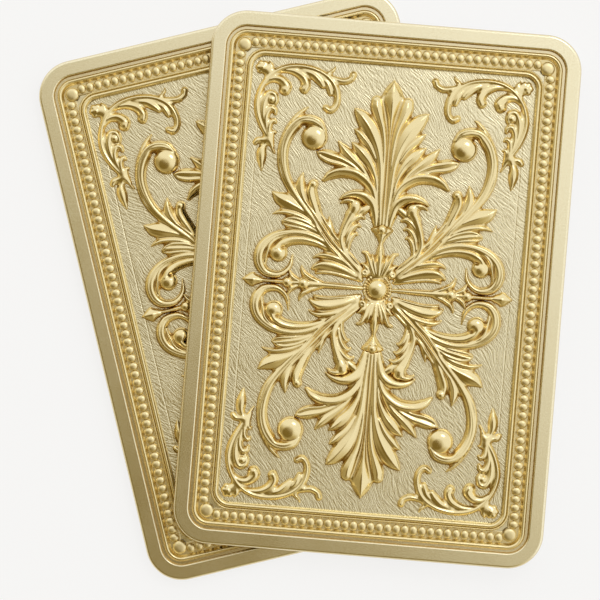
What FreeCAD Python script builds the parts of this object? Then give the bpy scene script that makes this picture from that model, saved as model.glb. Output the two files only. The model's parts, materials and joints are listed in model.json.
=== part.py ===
import FreeCAD, Part

import math
import os

from FreeCAD import Placement, Rotation, Vector

# Two thick gilt relief cards, fanned, ornamented backs up. Millimetres throughout.
# A card is drawn in its own axes: X across its width, Y along its length, Z up from the printed
# face it lies on, with the origin at the centre of that face. The back card keeps those axes.

# Card body
CARD_LENGTH = 88.9
CARD_WIDTH = 61.7
CARD_THICKNESS = 2.4
CARD_CORNER_RADIUS = 6.0
CORNER_FACETS = 4
FACE_SHEET_THICKNESS = 0.15
BASE_PLATE_THICKNESS = 0.45
FIELD_PANEL_THICKNESS = 0.3

# Border, as widths counted inwards one after the other from the card's edge
RIM_FLAT_WIDTH = 2.55
RIM_SLOPE_WIDTH = 0.5
RIM_ROUNDING = 0.55
THREAD_WIDTH = 0.85
COVE_WIDTH = 0.2
BEAD_CHANNEL_WIDTH = 1.85
INNER_THREAD_WIDTH = 0.4
INNER_BAND_WIDTH = 0.8
INNER_WALL_WIDTH = 0.15
INNER_CORNER_RADIUS = 3.3

# Depths of the border's levels below the rim's flat top
GROOVE_DEPTH = 0.9
THREAD_DEPTH = 0.3
BEAD_FLOOR_DEPTH = 1.1
INNER_FOOT_DEPTH = 0.95
INNER_THREAD_DEPTH = 0.65
INNER_BAND_DEPTH = 0.4
THREAD_FACETS = 3

# Beads
BEAD_DIAMETER = 1.34
BEAD_GAP = 0.05
BEAD_HEIGHT = 0.75
BEAD_SIDES = 5
CORNER_BEAD_DIAMETER = 2.2
CORNER_BEAD_SETBACK = 0.575
CORNER_BEAD_HEIGHT = 0.95

# Ornament: room left above it and round it, and how much of the relief thin and broad strokes fill
ORNAMENT_DEPTH = 0.1
ORNAMENT_MARGIN = 0.35
THIN_STROKE_SHARE = 0.5
BROAD_STROKE_SHARE = 0.92
BROAD_STROKE_HALF_WIDTH = 0.94
STROKE_STEP_DEGREES = 55.0
BALL_SIDES = 8
BALL_BELTS = 2
BERRY_RADIUS = 1.0

# Fan: the front card is turned about a point below its lower edge, given from either card's centre
FAN_PIVOT_X = -6.2
FAN_PIVOT_Y = -54.8
FAN_ANGLE = -18.1

# One quarter of the ornament, as strokes of (x, y, half width) from the card's centre. Each second
# point is the middle of an arc between its neighbours, and a half width of 0 is a pointed end.
# A stroke of one point is a ball. The other quarters are mirror images.
SCROLL_STROKES = {
    "ball_scroll": [(1.6, 1.5, 0.3), (5.4, 4.4, 0.45), (9.2, 8.4, 0.5), (13.0, 12.4, 0.55),
                    (16.2, 16.6, 0.7), (17.5, 20.2, 0.85), (16.9, 24.0, 1.0), (15.3, 26.5, 0.95),
                    (13.2, 27.2, 0.8), (11.4, 26.4, 0.6), (10.9, 24.6, 0.4)],
    "scroll_leaf": [(18.2, 21.2, 0.0), (17.6, 25.4, 0.42), (13.8, 29.3, 0.0)],
    "inner_leaf": [(9.3, 8.4, 0.3), (12.1, 12.6, 0.8), (11.5, 17.2, 0.0)],
    "middle_leaf": [(11.0, 10.2, 0.3), (13.8, 14.4, 0.8), (13.9, 18.1, 0.0)],
    "outer_leaf": [(12.4, 11.6, 0.3), (15.9, 13.5, 1.0), (18.5, 14.8, 0.0)],
    "second_leaf": [(11.0, 9.6, 0.3), (14.6, 11.4, 0.6), (17.9, 11.2, 0.0)],
    "third_leaf": [(9.6, 8.2, 0.3), (13.2, 9.85, 0.5), (16.5, 10.1, 0.0)],
    "c_scroll": [(6.0, 4.7, 0.2), (10.8, 7.7, 0.55), (15.4, 8.3, 0.65), (19.2, 6.6, 0.7),
                 (20.3, 3.6, 0.65), (19.0, 1.35, 0.55), (16.9, 0.95, 0.42), (15.1, 1.7, 0.3),
                 (14.5, 3.9, 0.0)],
    "c_lining": [(10.4, 7.2, 0.0), (14.2, 7.3, 0.5), (16.6, 5.6, 0.5)],
    "spur": [(2.6, 1.7, 0.3), (7.2, 3.3, 0.75), (10.6, 3.1, 0.0)],
    "curled_leaf": [(3.6, 2.8, 0.25), (6.3, 6.2, 0.6), (6.8, 10.2, 0.75), (5.9, 13.0, 0.9),
                    (7.2, 14.4, 0.0)],
    "scroll_ball": [(12.75, 24.3, 1.95)],
    "c_ball": [(16.8, 4.7, 1.3)],
}

CORNER_STROKES = {
    "stem": [(18.9, 21.4, 0.0), (21.2, 25.0, 0.35), (22.5, 29.0, 0.42), (21.6, 33.0, 0.48),
             (18.2, 35.6, 0.5), (13.6, 36.0, 0.45), (10.0, 33.8, 0.42), (8.95, 31.2, 0.4),
             (10.8, 29.1, 0.3)],
    "tail": [(11.0, 34.7, 0.2), (8.2, 33.9, 0.36), (6.9, 35.2, 0.3)],
    "first_curl": [(19.6, 34.8, 0.2), (15.6, 34.9, 0.42), (14.5, 32.6, 0.4)],
    "second_curl": [(21.6, 32.6, 0.2), (19.0, 33.5, 0.42), (17.8, 31.6, 0.4)],
    "third_curl": [(22.3, 29.2, 0.2), (20.6, 30.6, 0.45), (19.1, 29.3, 0.0)],
    "fourth_curl": [(14.4, 36.0, 0.2), (12.5, 34.7, 0.42), (11.5, 32.9, 0.0)],
    "berry_stalk": [(20.6, 34.0, 0.2), (21.2, 34.3, 0.3), (21.8, 34.9, 0.3)],
    "side_leaf": [(20.2, 23.4, 0.2), (20.6, 20.8, 0.45), (20.8, 18.0, 0.0)],
    "berry": [(21.9, 34.9, 0.95)],
    "tail_ball": [(7.0, 35.6, 0.55)],
    "first_ball": [(14.8, 32.3, 0.75)],
    "second_ball": [(18.1, 31.4, 0.65)],
}

PALMETTE_STROKES = {
    "shoulder_lobe": [(0.4, 22.6, 0.25), (2.3, 28.2, 0.95), (3.0, 32.0, 0.0)],
    "great_lobe": [(0.4, 19.6, 0.25), (3.3, 26.3, 1.2), (6.0, 29.3, 0.0)],
    "side_lobe": [(0.5, 17.6, 0.25), (3.5, 22.1, 0.8), (6.0, 23.7, 0.0)],
    "rising_lobe": [(0.8, 16.6, 0.25), (5.2, 21.3, 0.7), (8.2, 23.7, 0.0)],
    "reaching_lobe": [(1.0, 16.2, 0.25), (6.6, 20.9, 0.7), (11.5, 22.0, 0.0)],
    "drooping_lobe": [(0.7, 12.6, 0.3), (2.6, 17.4, 0.65), (6.4, 19.3, 0.75), (9.2, 18.7, 0.6),
                      (10.2, 17.3, 0.0)],
    "volute": [(0.6, 10.9, 0.3), (1.9, 14.3, 0.6), (4.6, 15.6, 0.55), (6.3, 15.5, 0.35),
               (7.4, 14.8, 0.0)],
}
PALMETTE_AXIS = {
    "crown_lobe": [(0.0, 21.0, 0.3), (0.0, 29.6, 1.95), (0.0, 34.7, 0.0)],
    "midrib": [(0.0, 10.8, 0.5), (0.0, 17.0, 0.38), (0.0, 24.0, 0.0)],
}

BOSS_STROKES = {
    "calyx_side": [(0.5, 2.2, 0.3), (1.3, 4.6, 0.6), (2.4, 6.1, 0.0)],
    "calyx_foot": [(0.6, 1.0, 0.4), (1.8, 2.1, 0.55), (2.6, 3.4, 0.0)],
}
BOSS_AXIS = {
    "calyx": [(0.0, 1.0, 0.9), (0.0, 4.4, 0.95), (0.0, 8.6, 0.3)],
    "knot": [(0.0, 8.3, 0.3), (0.0, 9.6, 1.65), (0.0, 10.8, 0.3)],
}
BOSS_CENTRE = {"ball": [(0.0, 0.0, 1.75)]}

FINIAL_AXIS = {
    "rod": [(1.2, 0.0, 0.4), (7.0, 0.0, 0.3), (12.0, 0.0, 0.5)],
    "star": [(11.2, 0.0, 0.4), (14.2, 0.0, 0.75), (19.4, 0.0, 0.25)],
    "tip": [(18.9, 0.0, 0.0), (20.7, 0.0, 1.0), (22.5, 0.0, 0.0)],
}
FINIAL_STROKES = {"barb": [(11.6, 0.3, 0.3), (12.5, 1.0, 0.3), (12.7, 2.4, 0.0)]}

UP = Vector(0, 0, 1)
CORNERS = ((1, 1), (-1, 1), (-1, -1), (1, -1))
SAME_POINT = 1e-7

base_top = FACE_SHEET_THICKNESS + BASE_PLATE_THICKNESS
field_top = base_top + FIELD_PANEL_THICKNESS
rim_foot = RIM_FLAT_WIDTH + RIM_SLOPE_WIDTH
channel_start = rim_foot + THREAD_WIDTH + COVE_WIDTH
inner_start = channel_start + BEAD_CHANNEL_WIDTH
inner_width = INNER_THREAD_WIDTH + INNER_BAND_WIDTH + INNER_WALL_WIDTH
field_inset = inner_start + inner_width
bead_floor = CARD_THICKNESS - BEAD_FLOOR_DEPTH
relief = CARD_THICKNESS - ORNAMENT_DEPTH - field_top

drawings = (SCROLL_STROKES, CORNER_STROKES, PALMETTE_STROKES, PALMETTE_AXIS, FINIAL_AXIS)
drawn_points = [point for drawing in drawings for points in drawing.values() for point in points]
drawn_reach_x = max(x + half for x, y, half in drawn_points)
drawn_reach_y = max(y + half for x, y, half in drawn_points)
room_x = CARD_WIDTH / 2 - field_inset - ORNAMENT_MARGIN
room_y = CARD_LENGTH / 2 - field_inset - ORNAMENT_MARGIN
ornament_scale = min(room_x / drawn_reach_x, room_y / drawn_reach_y)
corner_shift = Vector(room_x - drawn_reach_x * ornament_scale, room_y - drawn_reach_y * ornament_scale, 0)


def solid_of(polygons):
    """Closed solid from its flat faces."""
    shell = Part.makeShell([Part.Face(Part.makePolygon(corners + corners[:1])) for corners in polygons])
    solid = Part.makeSolid(shell)
    return solid if solid.Volume > 0 else solid.reversed()


def joined(shapes):
    """One solid from solids that meet or overlap."""
    return shapes[0].multiFuse(shapes[1:]).removeSplitter()


def mirrored(shape, across_x, across_y):
    """The shape's mirror image: left for right, top for bottom, or both."""
    image = shape
    if across_x:
        image = image.mirror(Vector(0, 0, 0), Vector(1, 0, 0))
    if across_y:
        image = image.mirror(Vector(0, 0, 0), Vector(0, 1, 0))
    return image


def rounded_outline(inset, radius, z):
    """Corners of the card's outline drawn in by an inset, each rounding cut in even facets."""
    points = []
    for quarter, (side_x, side_y) in enumerate(CORNERS):
        reach_x = CARD_WIDTH / 2 - inset - radius
        reach_y = CARD_LENGTH / 2 - inset - radius
        centre = Vector(side_x * reach_x, side_y * reach_y, z)
        for facet in range(CORNER_FACETS + 1):
            angle = math.pi / 2 * (quarter + facet / CORNER_FACETS)
            points.append(centre + Vector(math.cos(angle), math.sin(angle), 0) * radius)
    return points


def plate(inset, radius, z, thickness):
    """Flat rounded plate."""
    points = rounded_outline(inset, radius, z)
    return Part.Face(Part.makePolygon(points + points[:1])).extrude(UP * thickness)


def swept_frame(inset, radius, section):
    """Frame with a section of corners (depth inwards, z) carried round the outline."""
    rings = [rounded_outline(inset + depth, radius - depth, z) for depth, z in section]
    polygons = []
    for ring, following in zip(rings, rings[1:] + rings[:1]):
        polygons += [[ring[i - 1], ring[i], following[i], following[i - 1]] for i in range(len(ring))]
    return solid_of(polygons)


def half_round(start, width, foot, crest):
    """Corners of a thread's upper half: evenly turned along a half ellipse, without its two feet."""
    turns = [math.pi * (1 - step / THREAD_FACETS) for step in range(1, THREAD_FACETS)]
    middle = start + width / 2
    return [(middle + width / 2 * math.cos(a), foot + (crest - foot) * math.sin(a)) for a in turns]


def rim_frame():
    """Satin border: eased outer edge, flat top and a slope down to the groove."""
    top = CARD_THICKNESS
    shoulder = RIM_ROUNDING * (1 - math.sqrt(0.5))
    section = [(0, base_top), (0, top - RIM_ROUNDING), (shoulder, top - shoulder), (RIM_ROUNDING, top),
               (RIM_FLAT_WIDTH, top), (rim_foot, top - GROOVE_DEPTH), (rim_foot, base_top)]
    return swept_frame(0, CARD_CORNER_RADIUS, section)


def outer_moulding():
    """Half-round thread inside the rim's groove, with the floor that the beads sit on."""
    groove = CARD_THICKNESS - GROOVE_DEPTH
    thread = half_round(0, THREAD_WIDTH, groove, CARD_THICKNESS - THREAD_DEPTH)
    cove_end = THREAD_WIDTH + COVE_WIDTH
    section = [(0, base_top), (0, groove), *thread, (THREAD_WIDTH, groove), (cove_end, bead_floor),
               (cove_end, base_top)]
    frame = swept_frame(rim_foot, CARD_CORNER_RADIUS - rim_foot, section)
    floor = plate(channel_start, CARD_CORNER_RADIUS - channel_start, base_top, bead_floor - base_top)
    floor = floor.cut(plate(inner_start, INNER_CORNER_RADIUS, base_top, bead_floor - base_top))
    return joined([frame, floor])


def inner_moulding():
    """Thin thread and broader half-round band that frame the field."""
    foot = CARD_THICKNESS - INNER_FOOT_DEPTH
    band_end = INNER_THREAD_WIDTH + INNER_BAND_WIDTH
    thread_crest = (INNER_THREAD_WIDTH / 2, CARD_THICKNESS - INNER_THREAD_DEPTH)
    band = half_round(INNER_THREAD_WIDTH, INNER_BAND_WIDTH, foot, CARD_THICKNESS - INNER_BAND_DEPTH)
    section = [(0, base_top), (0, foot), thread_crest, (INNER_THREAD_WIDTH, foot), *band, (band_end, foot),
               (inner_width, field_top), (inner_width, base_top)]
    return swept_frame(inner_start, INNER_CORNER_RADIUS, section)


def faceted_dome(centre, girdle, height, sides, belts):
    """Many-sided dome: belts of facets at even turns from its girdle up to its peak."""
    rings = []
    for belt in range(belts):
        climb = math.pi / 2 * belt / belts
        level = centre + UP * (height * math.sin(climb))
        radius = girdle * math.cos(climb)
        turns = [2 * math.pi * side / sides for side in range(sides)]
        rings.append([level + Vector(math.cos(a), math.sin(a), 0) * radius for a in turns])
    peak = centre + UP * height
    polygons = [rings[0]]
    for lower, upper in zip(rings, rings[1:]):
        polygons += [[lower[i - 1], lower[i], upper[i], upper[i - 1]] for i in range(sides)]
    polygons += [[rings[-1][i - 1], rings[-1][i], peak] for i in range(sides)]
    return solid_of(polygons)


def bead_row_and_corners():
    """Beads in a row along the four sides, and the large beads where the rows meet."""
    row_inset = channel_start + BEAD_CHANNEL_WIDTH / 2
    corner_inset = row_inset + CORNER_BEAD_SETBACK
    corner_x = CARD_WIDTH / 2 - corner_inset
    corner_y = CARD_LENGTH / 2 - corner_inset
    reach = (CORNER_BEAD_DIAMETER + BEAD_DIAMETER) / 2 + BEAD_GAP
    clear = math.sqrt(reach ** 2 - CORNER_BEAD_SETBACK ** 2)
    row = []
    for across, along_y, end in ((CARD_LENGTH / 2, False, corner_x), (CARD_WIDTH / 2, True, corner_y)):
        span = 2 * (end - clear)
        count = int(span // (BEAD_DIAMETER + BEAD_GAP))
        for step in range(count + 1):
            place = span * (step / count - 0.5)
            for off in (across - row_inset, row_inset - across):
                x, y = (off, place) if along_y else (place, off)
                spot = Vector(x, y, bead_floor)
                row.append(faceted_dome(spot, BEAD_DIAMETER / 2, BEAD_HEIGHT, BEAD_SIDES, 1))
    corners = []
    for side_x, side_y in CORNERS:
        spot = Vector(side_x * corner_x, side_y * corner_y, bead_floor)
        girdle = CORNER_BEAD_DIAMETER / 2
        corners.append(faceted_dome(spot, girdle, CORNER_BEAD_HEIGHT, BALL_SIDES, BALL_BELTS))
    return Part.makeCompound(row), Part.makeCompound(corners)


def on_field(point):
    """A drawn point at the scale at which the ornament just fits the card's field."""
    return tuple(size * ornament_scale for size in point)


def heading(start, end):
    return math.atan2(end[1] - start[1], end[0] - start[0])


def arc_samples(start, middle, end):
    """Points (x, y, half width, heading) along the arc through three points, and the heading at its end.

    The headings come from the arc's tangent-chord angles, and the half width is a parabola through
    the three that are given.
    """
    chord_heading = heading(start, end)
    lead = math.remainder(heading(middle, end) - chord_heading, 2 * math.pi)
    trail = math.remainder(chord_heading - heading(start, middle), 2 * math.pi)
    turn = 2 * (lead + trail)
    first = chord_heading - turn / 2
    chord = math.hypot(end[0] - start[0], end[1] - start[1])
    steps = max(2, math.ceil(abs(turn) / math.radians(STROKE_STEP_DEGREES)))
    samples = []
    for step in range(steps):
        share = step / steps
        bend = turn * share
        reach = chord * (math.sin(bend / 2) / math.sin(turn / 2) if abs(turn) > SAME_POINT else share)
        half = (start[2] * (1 - share) * (1 - 2 * share) + middle[2] * 4 * share * (1 - share)
                + end[2] * share * (2 * share - 1))
        spot = start[0] + reach * math.cos(first + bend / 2), start[1] + reach * math.sin(first + bend / 2)
        samples.append((*spot, half, first + bend))
    return samples, first + turn


def stroke_samples(points):
    """Samples along a chain of arcs, up to and with its end."""
    samples = []
    for first in range(0, len(points) - 2, 2):
        arc, heading_out = arc_samples(*points[first:first + 3])
        samples += arc
    return samples + [(*points[-1], heading_out)]


def without_repeats(corners):
    """A polygon's corners, each given once."""
    return [corner for i, corner in enumerate(corners) if not corner.isEqual(corners[i - 1], SAME_POINT)]


def stroke_solid(points):
    """Raised stroke: two flanks rising from its outline on the field to a ridge, higher when broad."""
    breadth = min(max(half for x, y, half in points) / BROAD_STROKE_HALF_WIDTH, 1)
    height = relief * (THIN_STROKE_SHARE + (BROAD_STROKE_SHARE - THIN_STROKE_SHARE) * breadth)
    left, right, ridge = [], [], []
    for x, y, half, angle in stroke_samples(points):
        spot = Vector(x, y, field_top)
        off = Vector(-math.sin(angle), math.cos(angle), 0) * half
        left.append(spot + off)
        right.append(spot - off)
        ridge.append(spot + UP * height if half > 0 else spot)
    polygons = [left + right[::-1], [left[0], ridge[0], right[0]], [left[-1], ridge[-1], right[-1]]]
    for side in (left, right):
        for i in range(len(ridge) - 1):
            polygons += [[side[i], side[i + 1], ridge[i + 1]], [side[i], ridge[i + 1], ridge[i]]]
    polygons = [without_repeats(corners) for corners in polygons]
    return solid_of([corners for corners in polygons if len(corners) > 2])


def ball_solid(x, y, girdle):
    """Ball seated in the ground, as high as it is broad where the relief allows it."""
    sides, belts = (BALL_SIDES, BALL_BELTS) if girdle > BERRY_RADIUS else (BEAD_SIDES, 1)
    return faceted_dome(Vector(x, y, field_top), girdle, min(girdle, relief), sides, belts)


def raised(drawing):
    """Solids of a drawing's strokes and balls."""
    solids = []
    for drawn in drawing.values():
        points = [on_field(point) for point in drawn]
        solids.append(ball_solid(*points[0]) if len(points) == 1 else stroke_solid(points))
    return solids


def with_images(shapes, across_x, across_y):
    """Solids together with their mirror images."""
    return shapes + [mirrored(shape, across_x, across_y) for shape in shapes]


def ornament():
    """Castings on the field by name. Where two meet, the later one is cut to fit against the earlier."""
    calyx = raised(BOSS_AXIS) + with_images(raised(BOSS_STROKES), True, False)
    boss = joined(raised(BOSS_CENTRE) + with_images(calyx, False, True))
    scroll = joined(raised(SCROLL_STROKES)).cut(boss)
    scrolls = {(x, y): mirrored(scroll, x, y) for x in (False, True) for y in (False, True)}
    palmette = joined(raised(PALMETTE_AXIS) + with_images(raised(PALMETTE_STROKES), True, False))
    palmette = palmette.cut(boss).cut(scroll).cut(scrolls[True, False])
    finial = joined(raised(FINIAL_AXIS) + with_images(raised(FINIAL_STROKES), False, True))
    finial = finial.cut(boss).cut(scroll).cut(scrolls[False, True])
    corner = joined(raised(CORNER_STROKES)).translated(corner_shift).cut(scroll)
    pieces = {"centre_boss": boss, "upper_palmette": palmette,
              "lower_palmette": mirrored(palmette, False, True),
              "right_finial": finial, "left_finial": mirrored(finial, True, False)}
    for (flip_x, flip_y), shape in scrolls.items():
        place = ("lower_" if flip_y else "upper_") + ("left" if flip_x else "right")
        pieces[place + "_scroll"] = shape
        pieces[place + "_corner_spray"] = mirrored(corner, flip_x, flip_y)
    return pieces


def card():
    """Every piece of one card by name, in the card's own axes."""
    beads, corner_beads = bead_row_and_corners()
    field_corner = INNER_CORNER_RADIUS - inner_width
    pieces = {
        "face_sheet": plate(0, CARD_CORNER_RADIUS, 0, FACE_SHEET_THICKNESS),
        "base_plate": plate(0, CARD_CORNER_RADIUS, FACE_SHEET_THICKNESS, BASE_PLATE_THICKNESS),
        "field_panel": plate(field_inset, field_corner, base_top, FIELD_PANEL_THICKNESS),
        "rim_frame": rim_frame(),
        "outer_moulding": outer_moulding(),
        "inner_moulding": inner_moulding(),
        "bead_row": beads,
        "corner_beads": corner_beads,
    }
    pieces.update(ornament())
    return pieces


def main():
    """The two cards: the back one on the table, the front one lying on it, turned about the fan's pivot."""
    os.makedirs("parts", exist_ok=True)
    pivot = Vector(FAN_PIVOT_X, FAN_PIVOT_Y, 0)
    on_back_card = Placement(UP * CARD_THICKNESS, Rotation(UP, FAN_ANGLE), pivot)
    for name, shape in card().items():
        shape.exportStep(f"parts/back_{name}.step")
        front = shape.copy()
        front.Placement = on_back_card.multiply(shape.Placement)
        front.exportStep(f"parts/front_{name}.step")
        print(name, shape.isValid(), len(shape.Solids), "solids", round(shape.Volume, 2), "mm3")


main()
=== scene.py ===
# %% [markdown]
# # Two fanned relief cards
# The object is a pair of thick gilt playing cards, backs up, the front one fanned over the back one.
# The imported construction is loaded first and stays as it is: every surface made here lies on one of its
# pieces, in the same frame, and rides on the card that carries it.

# %% Load the construction
import json
import math

import bpy
import numpy as np
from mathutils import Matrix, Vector


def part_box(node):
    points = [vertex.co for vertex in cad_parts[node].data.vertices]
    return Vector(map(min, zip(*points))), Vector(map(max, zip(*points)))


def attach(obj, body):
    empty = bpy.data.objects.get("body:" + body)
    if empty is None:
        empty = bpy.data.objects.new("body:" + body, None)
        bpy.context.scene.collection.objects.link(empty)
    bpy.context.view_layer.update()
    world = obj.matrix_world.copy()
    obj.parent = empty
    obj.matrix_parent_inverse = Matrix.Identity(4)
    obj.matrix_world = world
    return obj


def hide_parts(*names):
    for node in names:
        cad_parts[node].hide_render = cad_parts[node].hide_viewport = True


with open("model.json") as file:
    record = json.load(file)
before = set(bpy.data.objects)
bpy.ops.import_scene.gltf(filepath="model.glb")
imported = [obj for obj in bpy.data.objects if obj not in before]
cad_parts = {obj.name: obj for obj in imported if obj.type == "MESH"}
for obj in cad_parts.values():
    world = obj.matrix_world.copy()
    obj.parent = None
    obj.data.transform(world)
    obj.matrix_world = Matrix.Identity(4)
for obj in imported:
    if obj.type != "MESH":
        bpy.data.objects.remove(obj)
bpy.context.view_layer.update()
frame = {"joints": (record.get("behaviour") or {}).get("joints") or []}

MM = 0.001

# %% [markdown]
# ## Measures of a card
# Both cards are alike, so one is drawn in its own axes: x across, y along, z up, in millimetres, with the
# origin at the middle of its underside. The levels and insets are read from the construction, so the looks
# follow it. Radii and small roundings, which a piece's box doesn't tell, are set where they are used.

# %% Read the levels and insets


def corners_mm(piece):
    """Lowest and highest corner of one of the back card's pieces, in millimetres."""
    return [np.array(corner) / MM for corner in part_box("back_" + piece)]


card_half = corners_mm("base_plate")[1][:2]
sheet_top = corners_mm("face_sheet")[1][2]
base_top = corners_mm("base_plate")[1][2]
field_top = corners_mm("field_panel")[1][2]
card_top = corners_mm("rim_frame")[1][2]
bead_floor = corners_mm("bead_row")[0][2]
bead_crown = corners_mm("bead_row")[1][2]
corner_bead_crown = corners_mm("corner_beads")[1][2]
thread_inset = card_half[0] - corners_mm("outer_moulding")[1][0]
inner_inset = card_half[0] - corners_mm("inner_moulding")[1][0]
field_half = corners_mm("field_panel")[1][:2]
field_inset = card_half[0] - field_half[0]
print("card", 2 * card_half, "thick", round(card_top, 2), "field", 2 * field_half, "at", round(field_top, 2))

# %% [markdown]
# ## From numbers to pieces
# A piece is an array of points and an array of quads. Two shapes of surface come up again and again: a
# section carried round a closed path, whose grid closes both ways, and a relief on a flat grid. One helper
# makes either a mesh on both cards: it turns the faces outwards by the sign of the enclosed volume,
# stores each point's place on the card as an attribute for the materials, and seats the front card's copy
# with the fan's own pivot and angle.

# %% Helpers that make and seat pieces
fan = frame["joints"][0]
fan_pivot = np.array(fan["pos_m"][:2]) / MM
fan_turn = -math.radians(fan["range_deg"][1])
CARDS = ("back", "front")
SMOOTH_UNDER = math.radians(38)


def seated(points, card):
    """A card's points in the shared frame.

    The front card is turned by the fan's angle about its pivot, and lifted by a card's thickness.
    """
    if card == "back":
        return points
    c, s = math.cos(fan_turn), math.sin(fan_turn)
    placed = points.copy()
    placed[:, :2] = (points[:, :2] - fan_pivot) @ np.array([[c, s], [-s, c]]) + fan_pivot
    placed[:, 2] += card_top
    return placed


def enclosed(points, quads):
    """Six times the volume enclosed by quads, each split in two triangles seen from the origin."""
    a, b, c, d = (points[quads[:, k]] for k in range(4))
    return np.einsum("ij,ij->", a, np.cross(b, c) + np.cross(c, d))


def lattice(rows, columns, close_rows, close_columns):
    """Quads of a grid of points numbered row by row, closed round either way where asked."""
    r = np.arange(rows if close_rows else rows - 1)
    c = np.arange(columns if close_columns else columns - 1)
    r, c = (part.ravel() for part in np.meshgrid(r, c, indexing="ij"))
    r2, c2 = (r + 1) % rows, (c + 1) % columns
    return np.stack([r * columns + c, r2 * columns + c, r2 * columns + c2, r * columns + c2], 1)


def add_piece(piece, points, quads, material, hollow=None, caps=(), smooth=True):
    """One piece on both cards, with its place on the card and its hollowness as attributes.

    The material is the same on both, or a dictionary with one for each card.
    """
    if enclosed(points, quads) < 0:
        quads = quads[:, ::-1]
    faces = quads.tolist() + [list(cap) for cap in caps]
    for card in CARDS:
        name = f"{card}_{piece}"
        mesh = bpy.data.meshes.new(name + "_gilt")
        mesh.from_pydata(seated(points, card) * MM, [], faces)
        mesh.polygons.foreach_set("use_smooth", np.ones(len(faces), bool))
        place = mesh.attributes.new("card_place", "FLOAT_VECTOR", "POINT")
        place.data.foreach_set("vector", points.astype(np.float32).ravel())
        # The hollowness attribute is the mask for painted amber shade in the gold materials.
        shade = mesh.attributes.new("hollow", "FLOAT", "POINT")
        values = np.zeros(len(points)) if hollow is None else hollow
        shade.data.foreach_set("value", values.astype(np.float32))
        if not smooth:
            mesh.set_sharp_from_angle(angle=SMOOTH_UNDER)
        mesh.materials.append(material[card] if isinstance(material, dict) else material)
        piece_object = bpy.data.objects.new(name + "_gilt", mesh)
        bpy.context.scene.collection.objects.link(piece_object)
        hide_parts(name)
        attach(piece_object, card + "_card")
    print(piece, len(points), "points", len(faces), "faces")


# %% [markdown]
# ## Shader sums as Python sums
# A material here is a formula: so much painted amber shade where the metal is hollow, so much scratch along
# the rim.
# Chains of Math nodes are hard to read, so one small class wraps a socket and lets the usual operators
# add those nodes. Its node method makes any other node from its type, settings and inputs.

# %% The socket class


class Sum:
    """A value in a node tree that can be added, multiplied and compared like a number."""

    def __init__(self, tree, socket):
        self.tree = tree
        self.socket = socket

    def node(self, kind, settings=None, output=0, **inputs):
        """A node of that type: settings first, then its sockets, by name or as _0, _1 by number."""
        made = self.tree.nodes.new(kind)
        for name, value in (settings or {}).items():
            setattr(made, name, value)
        for name, value in inputs.items():
            key = int(name[1:]) if name[0] == "_" else name.replace("_", " ")
            put(self.tree, made.inputs[key], value)
        return Sum(self.tree, made.outputs[output])

    def math(self, operation, *others):
        """A Math node whose first value is this one."""
        values = {f"_{k}": value for k, value in enumerate((self, *others))}
        return self.node("ShaderNodeMath", {"operation": operation}, **values)

    def __add__(self, other):
        return self.math("ADD", other)

    __radd__ = __add__

    def __mul__(self, other):
        return self.math("MULTIPLY", other)

    __rmul__ = __mul__

    def __sub__(self, other):
        return self.math("SUBTRACT", other)

    def __rsub__(self, other):
        return self.node("ShaderNodeMath", {"operation": "SUBTRACT"}, _0=other, _1=self)

    def below(self, other):
        """1 where this is less than the other, and 0 elsewhere."""
        return self.math("LESS_THAN", other)

    def size(self):
        """The value without its sign."""
        return self.math("ABSOLUTE")

    def clip(self):
        """The value held between 0 and 1."""
        return self.node("ShaderNodeClamp", Value=self)

    def step(self, low, high):
        """Smooth step from 0 at low to 1 at high."""
        settings = {"interpolation_type": "SMOOTHSTEP"}
        return self.node("ShaderNodeMapRange", settings, Value=self, From_Min=low, From_Max=high)


def put(tree, socket, value):
    """Link a Sum to a socket, or set a plain value on it."""
    if isinstance(value, Sum):
        tree.links.new(value.socket, socket)
    else:
        socket.default_value = value


# %% Helpers for materials


def new_material(name):
    """An empty material with its shader, and a Sum to start formulas from."""
    material = bpy.data.materials.new(name)
    material.use_nodes = True
    tree = material.node_tree
    return material, tree.nodes["Principled BSDF"], Sum(tree, None)


def mix_colours(start, factor, first, second):
    """Colour that goes from the first to the second with the factor."""
    return start.node("ShaderNodeMix", {"data_type": "RGBA"}, output=2, _0=factor, _6=first, _7=second)


def attribute(start, name, output):
    """A piece's own attribute: output 1 is a vector, 2 a number."""
    return start.node("ShaderNodeAttribute", {"attribute_name": name}, output=output)


def vector_math(start, operation, *values, output=0):
    """A Vector Math node: output 0 is a vector, 1 a number."""
    inputs = {f"_{k}": value for k, value in enumerate(values)}
    return start.node("ShaderNodeVectorMath", {"operation": operation}, output, **inputs)


def across_and_along(start, place):
    """The x and the y of a place on the card."""
    return [start.node("ShaderNodeSeparateXYZ", None, axis, Vector=place) for axis in (0, 1)]


def noise(start, place, scale, detail, output=0):
    """Noise with that many waves to a unit of place: output 0 is a number, 1 a colour."""
    return start.node("ShaderNodeTexNoise", None, output, Vector=place, Scale=scale, Detail=detail)
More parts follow.
